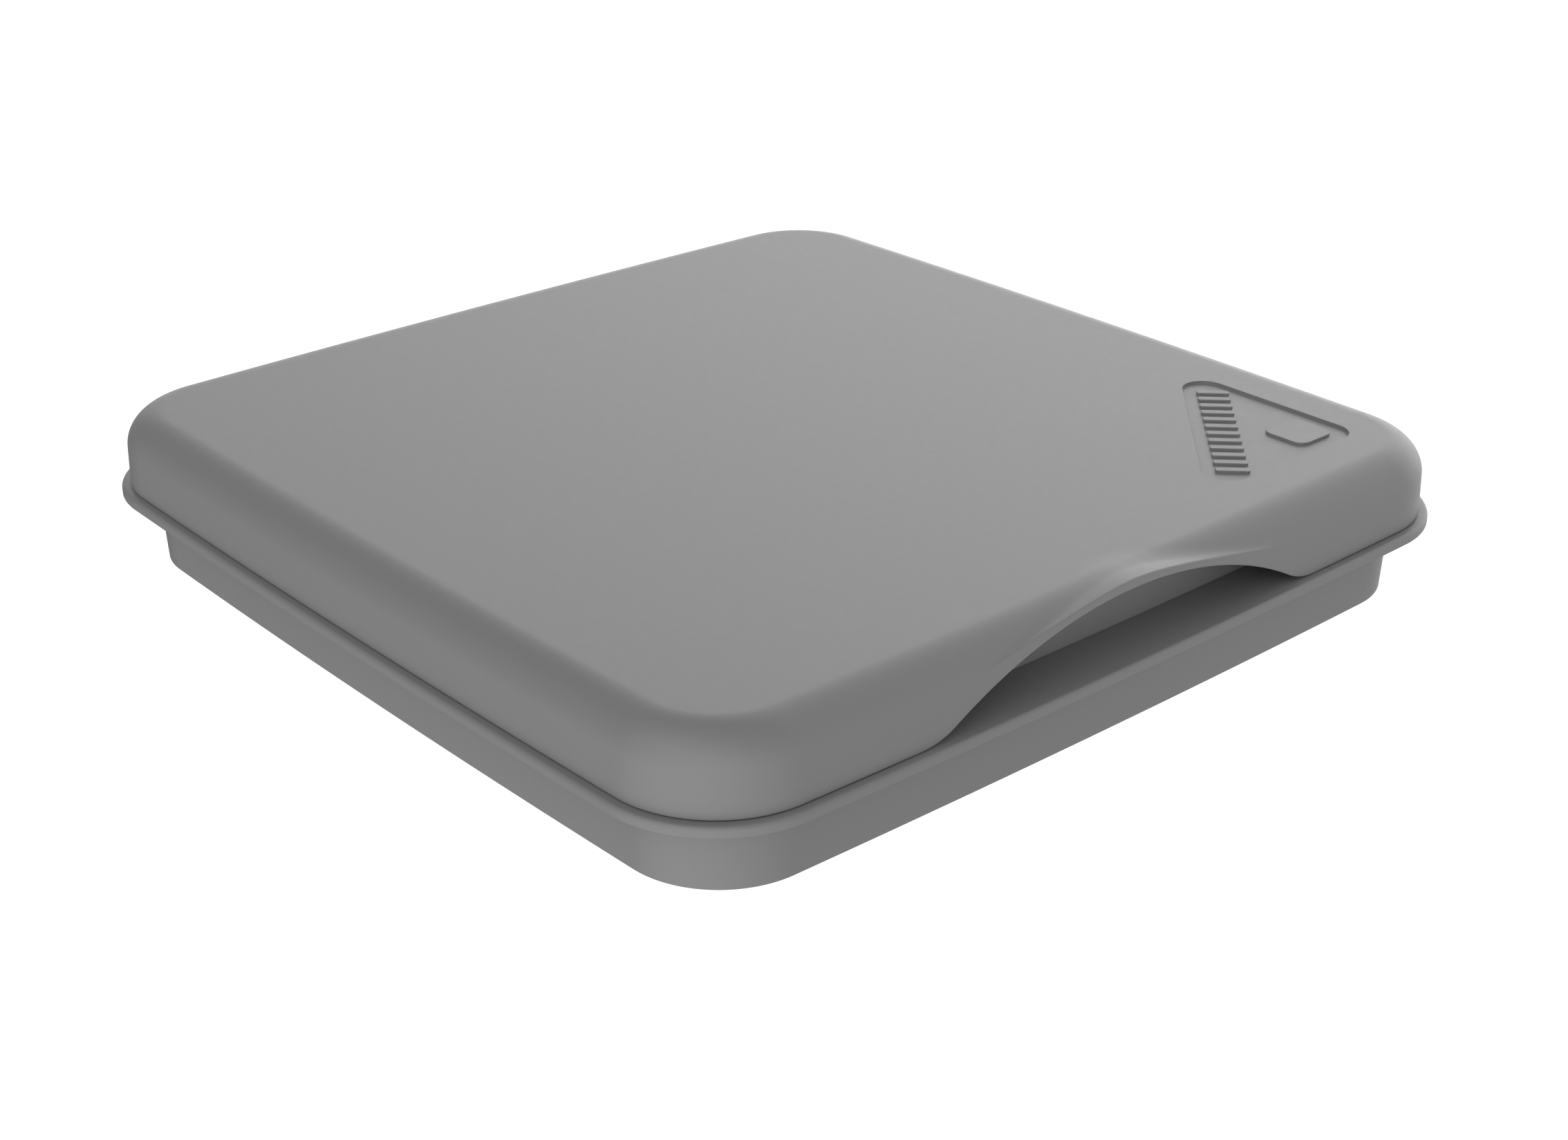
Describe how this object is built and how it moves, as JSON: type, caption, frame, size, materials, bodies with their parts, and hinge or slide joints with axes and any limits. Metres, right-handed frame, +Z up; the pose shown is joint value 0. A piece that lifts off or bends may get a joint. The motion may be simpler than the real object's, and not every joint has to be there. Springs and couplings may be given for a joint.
{
  "type": "kitchen waste container lid",
  "caption": "Square lid for a kitchen waste container: a lift-off cover with a finger arch rests on a rim frame that plugs into the container, with a filter tray inside.",
  "frame": {"origin": "centre of the lid's bounding box at the foot of the plug wall, the lowest level of the lid", "axes": "+Z up along the way the cover lifts off, -Y towards the front side with the finger arch, +X right as seen from the front"},
  "size_m": [0.2586, 0.2586, 0.0406],
  "materials": {
    "cover_plastic": "fine satin moulded plastic, mid grey",
    "frame_plastic": "fine satin moulded plastic, mid grey",
    "tray_plastic": "satin moulded plastic, dark grey",
    "pad_foam": "black open-cell carbon foam"
  },
  "bodies": {
    "frame": {"rim_frame": "frame_plastic"},
    "cover": {"cover": "cover_plastic"},
    "filter": {"filter_tray": "tray_plastic", "filter_pad": "pad_foam"}
  },
  "joints": [
    {"name": "cover_lift", "type": "slide", "parent": "frame", "child": "cover", "axis": [0, 0, 1], "range_m": [0, 0.06]},
    {"name": "tray_pull", "type": "slide", "parent": "cover", "child": "filter", "axis": [0, 0, -1], "range_m": [0, 0.05]}
  ]
}
